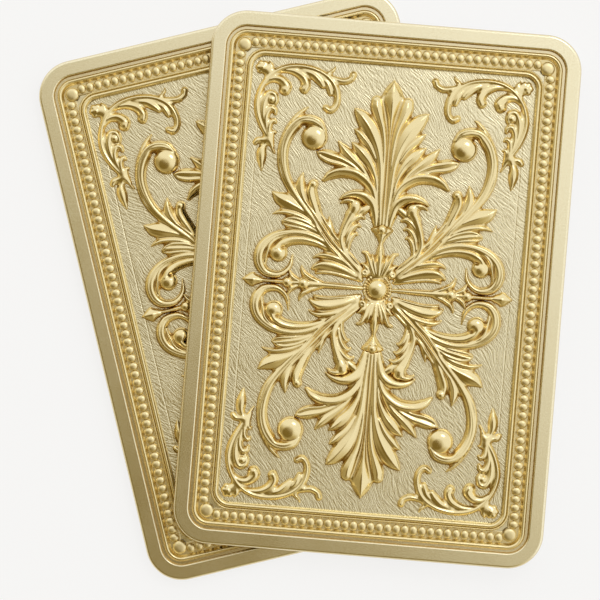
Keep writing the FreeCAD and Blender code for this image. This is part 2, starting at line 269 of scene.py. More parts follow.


# %% [markdown]
# ## Gold finishes
# All the metal is one pale gold alloy, finished in different ways: satin on the rim, polished on mouldings,
# beads and castings, chased on the field. In the hollows the colour is painted amber, as painted shade and
# as painted reflections of the gold itself. Blender's pointiness could find the hollows, but it depends on
# how fine the mesh is, so they are worked out with the shapes and stored on the points. Small clouds in the
# roughness keep the polish from looking like plastic.

# %% Colours and the polished finish
PALE_GOLD = (0.89, 0.765, 0.44, 1)
RIM_GOLD = (0.96, 0.90, 0.66, 1)
FIELD_GOLD = (0.92, 0.85, 0.60, 1)
# Amber and deep amber are painted shade and painted reflections of the gold, laid in its hollows.
SHADE_AMBER = (0.55, 0.36, 0.105, 1)
DEEP_SHADE_AMBER = (0.33, 0.18, 0.04, 1)
CLOUD_SCALE = 0.9
POLISH_SCALE = 7.0
POLISH_BUMP = 0.05
CLOUD_SHADE_LEAST = 0.75
CLOUD_SHADE_RANGE = 0.5
CLOUD_ROUGHNESS = 0.08
SHADE_ROUGHNESS = 0.12
AMBER_SHARE = 0.9
DEEP_SHADE_STEP = (0.75, 1.1)
DEEP_SHARE = 0.6
GRAIN_DEPTH = 0.05 * MM


def gold_material(name):
    """A material, its shader and start, and the piece's place on the card and hollowness."""
    material, shader, start = new_material(name)
    return material, shader, start, attribute(start, "card_place", 1), attribute(start, "hollow", 2)


def gild(shader, colour, roughness, height, strength, depth):
    """Metal of that colour and roughness, bumped by the height with that strength and depth in metres."""
    bump = height.node("ShaderNodeBump", None, Height=height, Strength=strength, Distance=depth)
    for socket, value in (("Base Color", colour), ("Roughness", roughness), ("Normal", bump)):
        put(colour.tree, shader.inputs[socket], value)
    shader.inputs["Metallic"].default_value = 1.0


def polished_gold(name, roughness):
    """Polished gilt: pale on crests, amber in hollows, with faint clouds in the polish.

    The painted shade is the hollowness times a cloud. It takes the colour from pale gold to amber, and its
    deepest part on to deep amber.
    """
    material, shader, start, place, hollow = gold_material(name)
    clouds = noise(start, place, CLOUD_SCALE, detail=3.0)
    grain = noise(start, place, POLISH_SCALE, detail=2.0)
    # Painted shade: the hollows, varied by the clouds, go amber.
    painted_shade = (hollow * (CLOUD_SHADE_LEAST + clouds * CLOUD_SHADE_RANGE)).clip()
    warm = mix_colours(start, (painted_shade * AMBER_SHARE).clip(), PALE_GOLD, SHADE_AMBER)
    deep = mix_colours(start, painted_shade.step(*DEEP_SHADE_STEP) * DEEP_SHARE, warm, DEEP_SHADE_AMBER)
    rough = roughness + clouds * CLOUD_ROUGHNESS + painted_shade * SHADE_ROUGHNESS
    gild(shader, deep, rough, grain, POLISH_BUMP, GRAIN_DEPTH)
    return material


moulding_gold = polished_gold("moulding_gold", roughness=0.2)
bead_gold = polished_gold("bead_gold", roughness=0.3)
ornament_gold = polished_gold("ornament_gold", roughness=0.13)
print("polished", [finish.name for finish in (moulding_gold, bead_gold, ornament_gold)])

# %% The satin finish
WORN_SCALE = 0.12
BRUSH_SCALE = 4.5
BRUSH_LEVEL = 0.62
BRUSH_SHADE = 0.5
BRUSH_BUMP = 0.06
BRUSH_ROUGHNESS = 0.05
WORN_ROUGHNESS = 0.08
SATIN_ROUGHNESS = 0.14
RIM_HOLLOW_SHADE = 0.9


def satin_gold():
    """Satin gilt: fine brushing with no one direction, and thumb-worn patches that shine a little more.

    The painted shade is the hollowness plus the low places of the brushing, and both noises roughen the
    polish.
    """
    material, shader, start, place, hollow = gold_material("satin_gold")
    worn = noise(start, place, WORN_SCALE, detail=2.0)
    brushing = noise(start, place, BRUSH_SCALE, detail=4.0)
    # Painted shade: the hollows and the low places of the brushing go amber.
    painted_shade = (hollow * RIM_HOLLOW_SHADE + (BRUSH_LEVEL - brushing) * BRUSH_SHADE).clip()
    warm = mix_colours(start, painted_shade, RIM_GOLD, SHADE_AMBER)
    rough = SATIN_ROUGHNESS + worn * WORN_ROUGHNESS + brushing * BRUSH_ROUGHNESS
    gild(shader, warm, rough, brushing, BRUSH_BUMP, GRAIN_DEPTH)
    return material


rim_gold = satin_gold()
print("satin", rim_gold.name)

# %% The chased finish
DRIFT_SCALE = 0.11
DRIFT = (6, 6, 0)
LEANING = dict(lean=math.radians(48), stretch=(0.5, 4.6, 1), detail=3.0, share=0.65)
CROSSING = dict(lean=math.radians(70), stretch=(0.6, 4.2, 1), detail=2.0, share=0.35)
SCORE_LINE = 22.12
SCORE_REACH = 33.5
SCORE_EDGE = (0.03, 0.16)
SCORE_DEPTH = 0.35
STROKE_LEVEL = 0.5
STROKE_SHADE = 0.38
STROKE_BUMP = 0.38
STROKE_DEPTH = 0.22 * MM
STROKE_ROUGHNESS = 0.1
FIELD_ROUGHNESS = 0.22
FIELD_HOLLOW_SHADE = 0.45
FIELD_AMBER_SHARE = 0.8


def graver_strokes(start, place, lean, stretch, detail, share):
    """A share of noise on places that are turned by the lean and then stretched, which draws out strokes."""
    turned = start.node("ShaderNodeVectorRotate", {"rotation_type": "Z_AXIS"}, Vector=place, Angle=lean)
    stretched = vector_math(start, "MULTIPLY", turned, stretch)
    return noise(start, stretched, scale=1.0, detail=detail) * share


def chased_gold():
    """Chased gilt: short graver strokes in two directions that turn slowly over the field.

    A slow noise pushes the places about before the strokes are drawn, and a fine score runs down each long
    side, where |x| is near SCORE_LINE. Painted shade darkens the low places of the strokes and the hollows.
    """
    material, shader, start, place, hollow = gold_material("field_gold")
    drift = noise(start, place, DRIFT_SCALE, detail=1.0, output=1)
    swung = vector_math(start, "MULTIPLY_ADD", drift, DRIFT, place)
    cuts = graver_strokes(start, swung, **LEANING) + graver_strokes(start, swung, **CROSSING)
    x, y = across_and_along(start, place)
    score = (1 - (x.size() - SCORE_LINE).size().step(*SCORE_EDGE)) * y.size().below(SCORE_REACH)
    strokes = cuts - score * SCORE_DEPTH
    # Painted shade: the hollows and the low places of the strokes go amber.
    painted_shade = (hollow * FIELD_HOLLOW_SHADE + (STROKE_LEVEL - strokes) * STROKE_SHADE).clip()
    warm = mix_colours(start, (painted_shade * FIELD_AMBER_SHARE).clip(), FIELD_GOLD, SHADE_AMBER)
    gild(shader, warm, FIELD_ROUGHNESS + strokes * STROKE_ROUGHNESS, strokes, STROKE_BUMP, STROKE_DEPTH)
    return material


field_gold = chased_gold()
print("chased", field_gold.name)

# %% [markdown]
# ## The border
# Rim, mouldings and plates all follow the card's rounded outline. Each is a section, a closed line of
# (depth inwards, height), carried round that outline. On the four corners the rings share one centre, so a
# section point at depth d simply runs on a quarter circle whose radius is smaller by d. A curve with a
# bevel profile could do this too, but arrays give every ring its true radius and every point its hollowness.

# %% Path and section sweep
QUARTERS = np.array([(1, 1), (-1, 1), (-1, -1), (1, -1)])
CORNER_RADIUS = 6.0
INNER_RADIUS = 3.3
ARC_STEPS = 14
SIDE_STEPS = 26


def path(inset, radius):
    """Corner centres and outward directions round the outline: its points are centre + radius x direction."""
    share = np.linspace(0, 1, ARC_STEPS + 1)
    along = np.linspace(0, 1, SIDE_STEPS + 1)[1:-1, None]
    centres, directions = [], []
    hubs = QUARTERS * (card_half - inset - radius)
    for k in range(4):
        angle = (k + share) * math.pi / 2
        quarter = np.stack([np.cos(angle), np.sin(angle)], 1)
        side = hubs[k] + (hubs[(k + 1) % 4] - hubs[k]) * along
        centres += [np.repeat(hubs[k:k + 1], len(quarter), 0), side]
        directions += [quarter, np.repeat(quarter[-1:], len(along), 0)]
    return np.concatenate(centres), np.concatenate(directions)


def swept(section, inset, radius):
    """Points and quads of a closed section (depth, z) carried round the outline at that inset."""
    depth, z = np.array(section, float).T
    centres, directions = path(inset, radius)
    flat = centres[:, None] + (radius - depth)[None, :, None] * directions[:, None]
    points = np.concatenate([flat, np.broadcast_to(z[None, :, None], flat.shape[:2] + (1,))], 2)
    rows, columns = points.shape[:2]
    return points.reshape(-1, 3), lattice(rows, columns, True, True), rows


def arc(start, end, bulge_x, bulge_z, steps):
    """Quarter ellipse between two section points, leaving start along x or z as the bulge says."""
    t = np.linspace(0, math.pi / 2, steps + 1)
    (x0, z0), (x1, z1) = start, end
    rise = np.sin(t) if bulge_z else 1 - np.cos(t)
    run = np.sin(t) if bulge_x else 1 - np.cos(t)
    return [(x0 + (x1 - x0) * a, z0 + (z1 - z0) * b) for a, b in zip(run, rise)]


def thread(start, width, foot, crest, steps):
    """Half round between two feet: a half ellipse of that width and height."""
    t = np.linspace(math.pi, 0, steps + 1)
    middle = start + width / 2
    return [(middle + width / 2 * math.cos(a), foot + (crest - foot) * math.sin(a)) for a in t]


# %% Sections of rim and mouldings
RIM_ROUNDING = 0.45
RIM_ROUNDING_DEPTH = 0.7
RIM_FLAT_WIDTH = 2.5
RIM_EDGE_ROUNDING = 0.16
CRISP = 0.05
HAIR = 0.01
GROOVE_DEPTH = 0.9
THREAD_WIDTH = 0.85
THREAD_DEPTH = 0.3
CHANNEL_START = 1.0
CHANNEL_EASE_WIDTH = 0.1
CHANNEL_EASE_DEPTH = 0.08
INNER_FOOT_DEPTH = 0.95
INNER_THREAD_WIDTH = 0.4
INNER_THREAD_DEPTH = 0.65
INNER_BAND_WIDTH = 0.8
INNER_BAND_DEPTH = 0.4
groove = card_top - GROOVE_DEPTH
inner_foot = card_top - INNER_FOOT_DEPTH
rim_edge = RIM_FLAT_WIDTH - RIM_EDGE_ROUNDING
channel_depth = inner_inset - thread_inset
inner_width = field_inset - inner_inset

rim_section = [(0, base_top)]
rim_section += arc((0, card_top - RIM_ROUNDING_DEPTH), (RIM_ROUNDING, card_top), False, True, steps=7)
rim_section += [(RIM_ROUNDING + CRISP, card_top), (rim_edge - CRISP, card_top)]
rim_section += arc((rim_edge, card_top), (RIM_FLAT_WIDTH, card_top - RIM_EDGE_ROUNDING), True, False, steps=5)
rim_section += [(RIM_FLAT_WIDTH + CRISP, groove + 2 * CRISP), (RIM_FLAT_WIDTH + 3 * CRISP, groove)]
rim_section += [(thread_inset, groove), (thread_inset, base_top)]

outer_section = [(0, base_top), (0, groove)]
outer_section += thread(2 * HAIR, THREAD_WIDTH, groove, card_top - THREAD_DEPTH, steps=10)
outer_section += [(CHANNEL_START, bead_floor + CHANNEL_EASE_DEPTH)]
outer_section += [(CHANNEL_START + CHANNEL_EASE_WIDTH, bead_floor), (channel_depth, bead_floor)]
outer_section += [(channel_depth, base_top)]

inner_section = [(0, base_top), (0, inner_foot)]
inner_section += thread(HAIR, INNER_THREAD_WIDTH, inner_foot, card_top - INNER_THREAD_DEPTH, steps=6)
band_start = INNER_THREAD_WIDTH + 2 * HAIR
band = thread(band_start, INNER_BAND_WIDTH, inner_foot, card_top - INNER_BAND_DEPTH, steps=9)
inner_section += band[1:] + [(inner_width, field_top - 2 * HAIR), (inner_width, base_top)]
BORDER = [(rim_section, 0), (outer_section, thread_inset), (inner_section, inner_inset)]
print("section points", [len(section) for section, _ in BORDER])

# %% Hollows and pieces of the border
BORDER_SAMPLES = 500
BORDER_PAST = 1
BORDER_SPREAD = 0.4
FULL_HOLLOW = 0.5
MOST_HOLLOW = 0.7
CHANNEL_RISE = 0.3
CHANNEL_SHARE = 0.4
EDGE_LINE = 0.1
EDGE_WIDTH = 0.08
EDGE_SHADE = 0.4


def border_hollow(section, inset):
    """How far each section point lies below the border's smoothed height, as a share of a full hollow.

    The smoothed height is a Gaussian average of the border's upper line. The bead channel takes a smaller
    share, and a narrow bell adds a line of shade along the outer edge.
    """
    joined = [(x + i, z) for s, i in BORDER for x, z in s if z > base_top]
    xs, zs = np.array(sorted(joined)).T
    reach = np.linspace(0, field_inset + BORDER_PAST, BORDER_SAMPLES)
    height = np.interp(reach, xs, zs, right=field_top)
    spread = np.exp(-0.5 * ((reach[:, None] - reach) / BORDER_SPREAD) ** 2)
    smooth = spread @ height / spread.sum(1)
    depth, z = np.array(section).T
    share = np.clip((np.interp(depth + inset, reach, smooth) - z) / FULL_HOLLOW, 0, MOST_HOLLOW)
    edge = EDGE_SHADE * np.exp(-((depth + inset - EDGE_LINE) / EDGE_WIDTH) ** 2)
    return np.maximum(edge, np.where(z < bead_floor + CHANNEL_RISE, CHANNEL_SHARE * share, share))


for piece, (section, inset), radius, material, slot in (
        ("rim_frame", BORDER[0], CORNER_RADIUS, rim_gold, "satin_gold"),
        ("outer_moulding", BORDER[1], CORNER_RADIUS - thread_inset, moulding_gold, "moulding_gold"),
        ("inner_moulding", BORDER[2], INNER_RADIUS, moulding_gold, "moulding_gold")):
    points, quads, rows = swept(section, inset, radius)
    # The hollowness, with its line of shade along the outer edge, is painted as amber shade by the finishes.
    hollow = np.tile(border_hollow(section, inset), rows)
    add_piece(piece, points, quads, material, hollow, smooth=False)

# %% [markdown]
# ## Plates
# The base plate and the printed sheet are flat plates with a softened edge. Their rims are swept like the
# border, and one many-sided face closes each side. The playing face is printed by a formula of the place on
# the card, so that its lines stay sharp at any distance.

# %% The printed faces
PIP_HALF = (5.0, 6.8)
PIP_EDGE = (0.97, 1.03)
INDEX_PLACE = (25.5, 38.5)
INDEX_STROKE = 0.28
LINE_INSET = 2.6
LINE_HALF = 0.12
ENAMEL_SCALE = 0.4
ENAMEL_AGE = 0.3
ENAMEL_ROUGHNESS = 0.3
ENAMEL_UNEVEN = 0.1
IVORY = (0.85, 0.8, 0.68, 1)
OLD_IVORY = (0.78, 0.7, 0.55, 1)
PIP_RED = (0.33, 0.025, 0.02, 1)
ONE = [((0, -2.2), (0, 2.2)), ((0, 2.2), (-0.9, 1.2))]
FOUR = [((0.6, -2.3), (0.6, 2.2)), ((-1.5, -0.8), (1.5, -0.8)), ((-1.4, -0.8), (0.6, 2.2))]


def bar(u, v, first, last):
    """1 on a bar between two points: within INDEX_STROKE of their line, and a little past either end."""
    length = math.dist(first, last)
    du, dv = (last[0] - first[0]) / length, (last[1] - first[1]) / length
    across = (u - first[0]) * dv - (v - first[1]) * du
    along = (u - first[0]) * du + (v - first[1]) * dv
    beside = across.size().below(INDEX_STROKE)
    return beside * (along - length / 2).size().below((length + INDEX_STROKE) / 2)


def printed_face(name, pip_place, digit):
    """Ivory enamel, slightly uneven, printed with diamond pips, a digit in two corners and a fine line.

    A pip is where |dx| / half width + |dy| / half height stays under 1. Taking |x| and |y| first prints it
    in all four quarters. The digit is drawn as read from below, and half a turn of the card gives its
    second place.
    """
    material, shader, start = new_material(name)
    place = attribute(start, "card_place", 1)
    clouds = noise(start, place, ENAMEL_SCALE, detail=3.0)
    x, y = across_and_along(start, place)
    pip = sum((value.size() - middle).size() * (1 / half)
              for value, middle, half in zip((x, y), pip_place, PIP_HALF))
    half_turn = y.math("SIGN")
    u, v = INDEX_PLACE[0] - x * half_turn, y * half_turn - INDEX_PLACE[1]
    edge = (x.size() - card_half[0]).math("MAXIMUM", y.size() - card_half[1])
    line = (edge + LINE_INSET).size().below(LINE_HALF)
    ink = (1 - pip.step(*PIP_EDGE)) + line + sum(bar(u, v, *ends) for ends in digit)
    enamel = mix_colours(start, clouds * ENAMEL_AGE, IVORY, OLD_IVORY)
    put(start.tree, shader.inputs["Base Color"], mix_colours(start, ink.clip(), enamel, PIP_RED))
    put(start.tree, shader.inputs["Roughness"], ENAMEL_ROUGHNESS + clouds * ENAMEL_UNEVEN)
    return material


FACES = {"back": printed_face("back_printed_face", (11.0, 21.0), FOUR),
         "front": printed_face("front_printed_face", (0.0, 0.0), ONE)}
print("printed", [face.name for face in FACES.values()])

# %% Base plate and printed sheet
FACE_CLEARANCE = 0.02
EASE_SHARE = 0.3


def add_plate(piece, low, high, material):
    """Rounded plate between two levels: a swept edge with a small bevel, closed above and below."""
    ease = EASE_SHARE * (high - low)
    section = [(ease, low), (0, low + ease), (0, high - ease), (ease, high)]
    points, _, rows = swept(section, 0, CORNER_RADIUS)
    quads = lattice(rows, len(section), True, False)
    first = np.arange(rows) * len(section)
    caps = [first[::-1], first + len(section) - 1]
    add_piece(piece, points, quads, material, caps=caps, smooth=False)


add_plate("base_plate", sheet_top, base_top, rim_gold)
add_plate("face_sheet", FACE_CLEARANCE, sheet_top, FACES)

# %% [markdown]
# ## Beads
# The bead row is a run of small pearls pressed into the channel. An Array modifier on a curve could lay
# them, but each run has to stop at the large corner beads, so the places are worked out: all beads are
# copies of one pillow-shaped dome, drawn as rings and shifted to their places by one array sum.

# %% Bead domes
BEAD_RADIUS = 0.67
BEAD_SWELL = 1.08
BEAD_BREADTH = 1.25
BEAD_FLATNESS = 0.74
BEAD_GAP = 0.05
PILLOW = 0.4
SEAT_DIP = 0.12
PEAK_SHARE = 0.97
SUNK_SHARE = 0.25
SUNK_MOST = 0.6
CORNER_BEAD_RADIUS = 1.1
CORNER_BEAD_SETBACK = 0.575


def dome(radius, height, belts, sides):
    """Rings of a pillow from just under its seat up to its peak.

    A ring at an angle of climb has a radius of radius x cos(climb) ** PILLOW and lies at height x sin(climb).
    """
    climb = np.linspace(-SEAT_DIP, math.pi / 2 * PEAK_SHARE, belts + 1)
    turn = np.linspace(0, 2 * math.pi, sides, endpoint=False)
    x = np.outer(np.cos(climb) ** PILLOW, np.cos(turn)) * radius
    y = np.outer(np.cos(climb) ** PILLOW, np.sin(turn)) * radius
    z = np.broadcast_to((np.sin(climb) * height)[:, None], x.shape)
    return np.stack([x, y, z], 2).reshape(-1, 3), lattice(belts + 1, sides, False, True)


def add_domes(piece, places, stretch, radius, crown, belts, sides):
    """Copies of one dome at each place, stretched there in x and y, each closed by its two end rings."""
    height = BEAD_FLATNESS * (crown - bead_floor)
    shape, quads = dome(radius, height, belts, sides)
    spots = np.column_stack([places, np.full(len(places), bead_floor)])
    scale = np.column_stack([stretch, np.ones(len(places))])
    points = (spots[:, None] + shape[None] * scale[:, None]).reshape(-1, 3)
    shift = np.arange(len(places))[:, None] * len(shape)
    all_quads = (quads[None] + shift[:, None]).reshape(-1, 4)
    seat = np.arange(sides)
    caps = [*(shift + seat[::-1]), *(shift + belts * sides + seat)]
    # Painted shade: the lowest share of each bead's height, where it meets the channel, goes amber.
    foot_shade = np.clip(1 - shape[:, 2] / height / SUNK_SHARE, 0, SUNK_MOST)
    add_piece(piece, points, all_quads, bead_gold, np.tile(foot_shade, len(places)), caps)


# %% Bead row and corner beads
bead_inset = card_half[0] - corners_mm("bead_row")[1][0] + BEAD_RADIUS
corner_place = card_half - bead_inset - CORNER_BEAD_SETBACK
clear = math.sqrt((CORNER_BEAD_RADIUS + BEAD_RADIUS + BEAD_GAP) ** 2 - CORNER_BEAD_SETBACK ** 2)
runs, stretches = [], []
for side, swell in enumerate(((BEAD_SWELL, BEAD_BREADTH), (BEAD_BREADTH, BEAD_SWELL))):
    span = 2 * (corner_place[side] - clear)
    count = int(span // (2 * BEAD_RADIUS + BEAD_GAP)) + 1
    for sign in (1, -1):
        run = np.full((count, 2), sign * (card_half[1 - side] - bead_inset))
        run[:, side] = np.linspace(-span / 2, span / 2, count)
        runs.append(run)
        stretches.append(np.tile(swell, (count, 1)))
add_domes("bead_row", np.concatenate(runs), np.concatenate(stretches), BEAD_RADIUS, bead_crown,
          belts=4, sides=12)
add_domes("corner_beads", QUARTERS * corner_place, np.full((4, 2), BEAD_SWELL), CORNER_BEAD_RADIUS,
          corner_bead_crown, belts=9, sides=28)

# %% [markdown]
# ## Ornament as a relief
# The castings on the field could be sculpted leaf by leaf as separate meshes, but cast leaves flow into
# each other, and from above a relief is simply a height over the field. So every leaf, stem and scroll is a
# stroke: a curve with a half width and a height at each of its points. For every point of one fine grid the
# nearest place on the curve is found, and a section across the stroke gives the height there. The highest
# stroke wins, which leaves the sharp valleys that a chaser cuts between leaves.

# %% The grid and the section of a stroke
GRID = 0.1
xs, ys = (np.arange(-round(half / GRID), round(half / GRID) + 1) * GRID for half in field_half)
DEEP = -0.6
PATH_STEP = 0.2
PLAIN_UNDER = 0.35
PLAIN_FADE = 0.5
CHANNEL_WIDTH = 0.62


def smooth_path(points):
    """Catmull-Rom curve through the points, every column alike, sampled in even shares between them."""
    p = np.array(points, float)
    p = np.vstack([2 * p[0] - p[1], p, 2 * p[-1] - p[-2]])
    samples = []
    for a, b, c, d in zip(p, p[1:], p[2:], p[3:]):
        steps = max(3, int(np.hypot(*(c - b)[:2]) / PATH_STEP))
        t = np.linspace(0, 1, steps, endpoint=False)[:, None]
        samples.append(0.5 * (2 * b + (c - a) * t + (2 * a - 5 * b + 4 * c - d) * t ** 2
                              + (3 * b - 3 * c + d - a) * t ** 3))
    return np.vstack(samples + [p[-2:-1]])


def section_height(v, power, rib, half):
    """Height across a stroke, 1 at its crest and 0 at its edges v = -1 and 1, going on down outside.

    The dome is 1 - |v| ** power. A rib above 0 scoops both flanks and leaves a rib along the middle
    and a lip along each edge. A rib below 0 cuts one channel along the middle. Narrow parts stay plain,
    because the cut grows with the half width.
    """
    rib = rib * np.clip((half - PLAIN_UNDER) / PLAIN_FADE, 0, 1)
    side = np.abs(v)
    inside = np.minimum(side, 1)
    height = 1 - inside ** power - power * (side - inside)
    flanks = np.sin(math.pi * inside) ** 2
    channel = np.cos(np.minimum(inside / CHANNEL_WIDTH, 1) * math.pi / 2) ** 2
    return height - np.maximum(rib, 0) * flanks + np.minimum(rib, 0) * channel


# %% Laying strokes and balls
SHARPEST = 0.06
REACH_SHARE = 1.6
REACH_PAST = 0.3
BALL_POWER = 2.8
BALL_PAST = 0.4
BALL_FALL = 3
PRESS_REACH = 3
TINY = 1e-9


def bare():
    """A relief with nothing laid on it yet."""
    return np.full((len(xs), len(ys)), DEEP)


def window(low, high):
    """Slices of the grid that cover a box, and the x and y of the grid points in it."""
    i = slice(*np.searchsorted(xs, (low[0], high[0])))
    j = slice(*np.searchsorted(ys, (low[1], high[1])))
    return (i, j), *np.meshgrid(xs[i], ys[j], indexing="ij")


def lay_stroke(relief, points, power, rib=0.0, crest=0.0):
    """Lay a stroke of (x, y, half width, height) on the relief. The crest may lie off its middle.

    Each grid point takes its nearest sample of the curve. Its distance across, measured from the crest to
    the edge on its own side, and its distance past an end make v, and the section gives the height at v.
    """
    samples = smooth_path(points)
    half = np.maximum(samples[:, 2], SHARPEST)
    reach = half.max() * REACH_SHARE + REACH_PAST
    part, gx, gy = window(samples[:, :2].min(0) - reach, samples[:, :2].max(0) + reach)
    spots = np.stack([gx.ravel(), gy.ravel()], 1).astype(np.float32)
    line = samples[:, :2].astype(np.float32)
    near = ((spots ** 2).sum(1)[:, None] - 2 * spots @ line.T + (line ** 2).sum(1)).argmin(1)
    tangent = np.gradient(samples[:, :2], axis=0)
    tangent /= np.linalg.norm(tangent, axis=1)[:, None] + TINY
    offset = spots - samples[near, :2]
    along = (offset * tangent[near]).sum(1)
    across = tangent[near, 0] * offset[:, 1] - tangent[near, 1] * offset[:, 0]
    before, after = np.minimum(along, 0), np.maximum(along, 0)
    past_end = np.where(near == 0, before, np.where(near == len(samples) - 1, after, 0))
    v = across / half[near]
    v = np.where(v > crest, (v - crest) / (1 - crest), (v - crest) / (1 + crest))
    v = np.hypot(v, past_end / half[near]) * np.where(v < 0, -1, 1)
    height = samples[near, 3] * section_height(v, power, rib, half[near])
    relief[part] = np.maximum(relief[part], np.maximum(height, DEEP).reshape(gx.shape))


def lay_strokes(relief, strokes):
    """Lay several strokes, each given as its kind, its crest and its points."""
    for kind, crest, points in strokes:
        lay_stroke(relief, points, crest=crest, **kind)
    print(len(strokes), "strokes, highest", relief.max().round(2))


def lay_ball(relief, x, y, radius, height):
    """Lay a ball: a dome a little flatter on top than an ellipsoid, that goes on down outside its girdle.

    Its height is the square root of 1 - (distance / radius) ** BALL_POWER.
    """
    reach = radius + BALL_PAST
    part, gx, gy = window((x - reach, y - reach), (x + reach, y + reach))
    share = ((gx - x) ** 2 + (gy - y) ** 2) / radius ** 2
    bowl = np.sqrt(np.maximum(1 - share ** (BALL_POWER / 2), 0)) - BALL_FALL * np.maximum(share - 1, 0)
    relief[part] = np.maximum(relief[part], np.maximum(height * bowl, DEEP))


def press(relief, x, y, radius, depth):
    """Press a round dimple into the relief: a bell of that radius and depth is taken away."""
    reach = PRESS_REACH * radius
    part, gx, gy = window((x - reach, y - reach), (x + reach, y + reach))
    relief[part] -= depth * np.exp(-((gx - x) ** 2 + (gy - y) ** 2) / radius ** 2)


print("relief grid", len(xs), "by", len(ys))

# %% [markdown]
# ## Drawing the castings
# Only one quarter is drawn, the upper right one, because the design is the same in all four. A stroke's
# points are (x, y, half width, height), all in millimetres from the card's middle and above its field. Its
# crest is 0 in the middle and -1 or 1 at an edge. Stems and spoons have a channel along the middle, leaves
# a rib, and the other kinds are plain domes, from sharp to broad.

# %% Kinds of stroke
KEEL = dict(power=1.5)
KNOT = dict(power=1.6)
ROD = dict(power=2.0)
LOBE = dict(power=2.3)
ARCH = dict(power=2.6)
CURL = dict(power=2.8)
CALYX = dict(power=3.0)
BAND = dict(power=3.2)
STEM = dict(power=2.6, rib=-0.14)
SPOON = dict(power=3.6, rib=-0.26)
LEAF = dict(power=4.0, rib=0.18)

# %% Ball scroll with its leaves
scroll = bare()
lay_strokes(scroll, (
    (STEM, -.15, [
        (10.0, 8.9, .4, .7), (11.6, 10.9, .6, .95), (13.3, 12.8, .7, 1.0), (15.2, 15.2, .7, 1.0),
        (16.6, 17.6, .75, 1.05), (17.35, 20.4, .85, 1.1), (17.35, 22.8, .95, 1.15),
        (16.6, 25.0, 1.05, 1.25), (15.2, 26.7, 1.05, 1.35), (13.6, 27.2, .95, 1.4), (12.0, 26.7, .9, 1.35),
        (11.0, 25.6, .5, 1.1)]),
    (ROD, 0, [
        (13.6, 12.6, .2, .6), (16.0, 15.3, .3, .8), (17.5, 17.9, .34, .85), (18.1, 20.5, .34, .85),
        (18.0, 23.0, .32, .85), (17.2, 25.4, .36, .85), (15.8, 27.5, .42, .8), (14.6, 28.7, .34, .7),
        (13.8, 29.4, .05, .5)]),
    (LOBE, -.35, [
        (8.8, 8.2, .4, .6), (10.3, 10.6, .7, .85), (11.4, 13.0, .9, 1.05), (12.15, 15.0, 1.0, 1.15),
        (12.15, 16.2, .85, 1.2)]),
    (LEAF, 0, [
        (11.9, 11.6, .4, .6), (13.2, 13.6, .8, .9), (14.0, 15.4, .95, 1.05), (14.1, 16.9, .75, 1.05),
        (13.85, 18.4, .05, .8)]),
    (LEAF, 0, [
        (11.9, 11.0, .45, .7), (13.9, 12.3, 1.0, .95), (15.9, 13.2, 1.4, 1.1), (17.4, 13.85, 1.15, 1.05),
        (18.2, 14.4, .6, .9), (18.75, 14.8, .1, .7)]),
    (LOBE, -.3, [
        (11.6, 10.2, .45, .7), (13.8, 11.2, .62, .95), (16.0, 11.65, .62, 1.0), (17.4, 11.5, .38, .85),
        (18.4, 11.1, .05, .6)]),
    (SPOON, .2, [
        (10.2, 8.5, .45, .7), (12.2, 9.55, .75, .95), (14.4, 10.15, .9, 1.1), (15.8, 10.25, .65, 1.05),
        (16.6, 10.0, .25, .85)]),
    (LOBE, 0, [(11.4, 8.6, .35, .6), (13.6, 9.1, .45, .85), (15.6, 9.35, .38, .85), (16.8, 9.7, .05, .6)]),
    (LEAF, 0, [(7.4, 6.4, .4, .5), (8.2, 8.5, .6, .8), (8.7, 10.1, .48, .75), (8.95, 11.5, .05, .5)]),
    (BAND, 0, [
        (2.5, 2.3, .5, .4), (5.0, 4.3, .95, .5), (7.7, 6.9, 1.1, .55), (9.9, 9.5, 1.05, .6),
        (11.8, 11.9, .7, .6)]),
    (ROD, 0, [
        (2.4, 2.2, .25, .45), (4.9, 4.3, .36, .95), (7.6, 6.9, .4, 1.05), (9.8, 9.5, .42, 1.1),
        (12.1, 12.4, .36, 1.05), (14.2, 15.0, .2, .9)]),
    (ROD, 0, [
        (2.6, 3.2, .25, .4), (4.4, 4.8, .36, .8), (7.0, 7.4, .4, .9), (9.1, 10.0, .36, .9),
        (10.6, 12.0, .2, .8)]),
    (ROD, 0, [
        (2.9, 1.8, .25, .4), (5.4, 3.8, .36, .8), (8.2, 6.3, .4, .9), (10.3, 8.8, .36, .9),
        (12.0, 11.0, .2, .8)]),
))
lay_ball(scroll, 12.0, 16.6, .85, 1.3)
lay_ball(scroll, 12.5, 24.4, 2.2, 1.45)
press(scroll, 14.4, 26.05, .42, .9)

